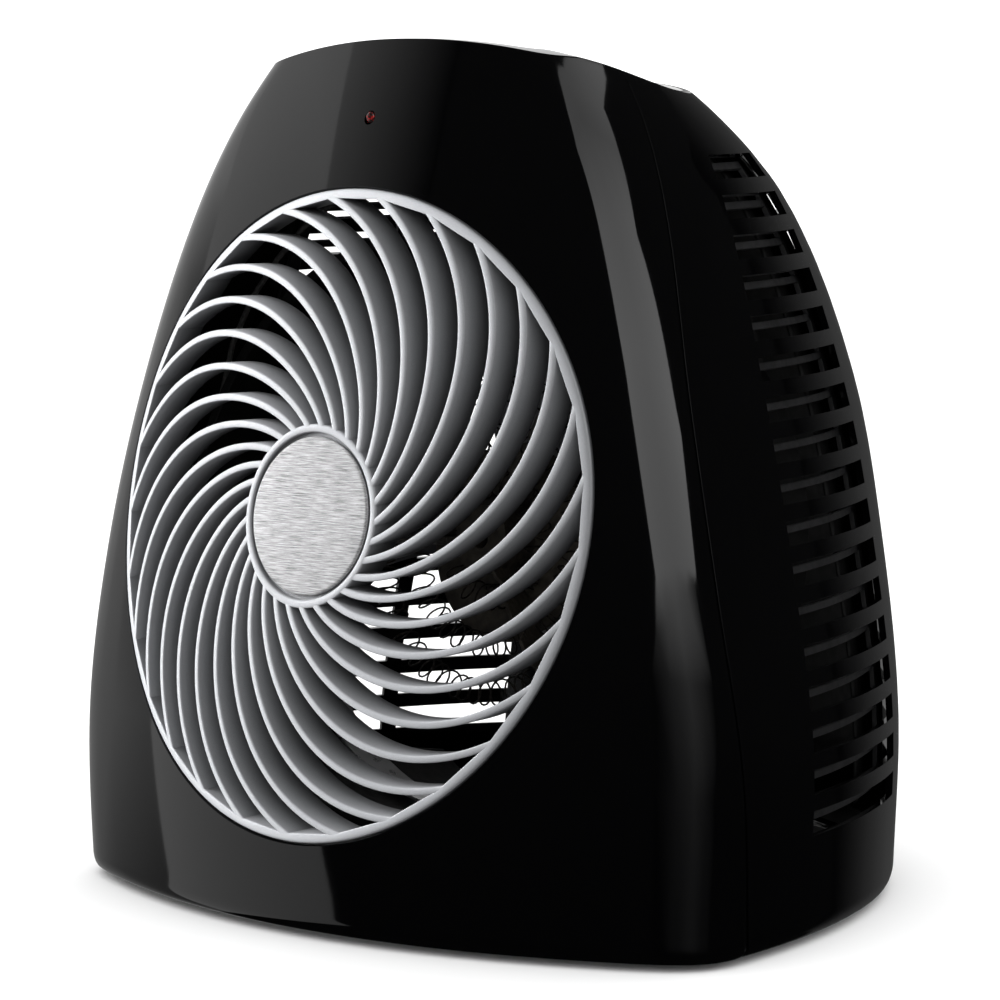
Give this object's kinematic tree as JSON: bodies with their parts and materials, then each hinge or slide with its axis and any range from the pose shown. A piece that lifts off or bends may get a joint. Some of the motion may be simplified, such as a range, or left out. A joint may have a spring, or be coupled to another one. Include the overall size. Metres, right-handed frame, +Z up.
{
  "type": "electric fan heater",
  "caption": "Free-standing fan heater with a round spiral-fin grille, slotted rear shell, leaning wire element and fan, and two top knobs.",
  "frame": {"origin": "under the middle of the housing's box, on the surface that it stands on", "axes": "+Z up, the grille faces -Y, +X is to the right seen from the front"},
  "size_m": [0.3048, 0.2621, 0.304],
  "materials": {
    "gloss_black": "gloss black moulded plastic",
    "matt_black": "matt black moulded plastic",
    "silver_paint": "satin silver-grey paint",
    "brushed_aluminium": "horizontal brushed grain, satin",
    "red_lens": "clear red moulded lens",
    "rubber": "matt black rubber",
    "plated_steel": "bright plated steel",
    "mica": "pressed mica board",
    "heating_wire": "oxidised resistance wire",
    "ceramic": "matt white ceramic and moulded resin",
    "fan_plastic": "dark grey moulded plastic",
    "brass": "copper wire and sintered bronze",
    "wire_sleeve": "pale heat-proof sleeving"
  },
  "bodies": {
    "housing": {"front_shell": "gloss_black", "rear_shell": "gloss_black", "control_panel": "gloss_black", "intake_guard_left": "matt_black", "intake_guard_right": "matt_black", "lead_shield": "matt_black", "base_plate": "matt_black", "air_duct": "matt_black", "lamp_holder": "matt_black", "tip_switch_body": "matt_black", "thermal_cutout": "matt_black", "front_grille": "silver_paint", "hub_badge": "brushed_aluminium", "power_lens": "red_lens", "foot_front_left": "rubber", "foot_front_right": "rubber", "foot_rear_left": "rubber", "foot_rear_right": "rubber", "cord_gland": "rubber", "element_ring": "plated_steel", "motor_can": "plated_steel", "motor_bracket": "plated_steel", "thermal_fuse": "plated_steel", "base_screw_left": "plated_steel", "base_screw_right": "plated_steel", "base_screw_rear": "plated_steel", "mica_spider": "mica", "heating_coil_1": "heating_wire", "heating_coil_2": "heating_wire", "heating_coil_3": "heating_wire", "element_terminal_left": "ceramic", "element_terminal_right": "ceramic", "selector_body": "ceramic", "thermostat_body": "ceramic", "terminal_block": "ceramic", "motor_windings": "brass", "bearing_front": "brass", "bearing_rear": "brass", "lead_selector": "wire_sleeve", "lead_thermostat": "wire_sleeve", "lead_motor": "wire_sleeve"},
    "fan_rotor": {"fan": "fan_plastic", "motor_shaft": "plated_steel", "fan_clip": "plated_steel", "motor_rotor": "plated_steel"},
    "selector": {"selector_knob": "matt_black", "selector_shaft": "plated_steel"},
    "thermostat": {"thermostat_knob": "matt_black", "thermostat_shaft": "plated_steel"},
    "tip_plunger": {"tip_switch_plunger": "fan_plastic"}
  },
  "joints": [
    {"name": "fan_spin", "type": "hinge", "parent": "housing", "child": "fan_rotor", "pos_m": [0, 0.00008, 0.12153], "axis": [0, -0.9844, 0.1762], "continuous": true},
    {"name": "selector_turn", "type": "hinge", "parent": "housing", "child": "selector", "pos_m": [-0.023, -0.034, 0.292], "axis": [0, 0, -1], "range_deg": [0, 135]},
    {"name": "thermostat_turn", "type": "hinge", "parent": "housing", "child": "thermostat", "pos_m": [0.023, -0.034, 0.292], "axis": [0, 0, -1], "range_deg": [0, 270]},
    {"name": "tip_press", "type": "slide", "parent": "housing", "child": "tip_plunger", "axis": [0, 0, 1], "range_m": [-0.004, 0], "stiffness_N_per_m": 250, "springref_m": -0.006}
  ]
}
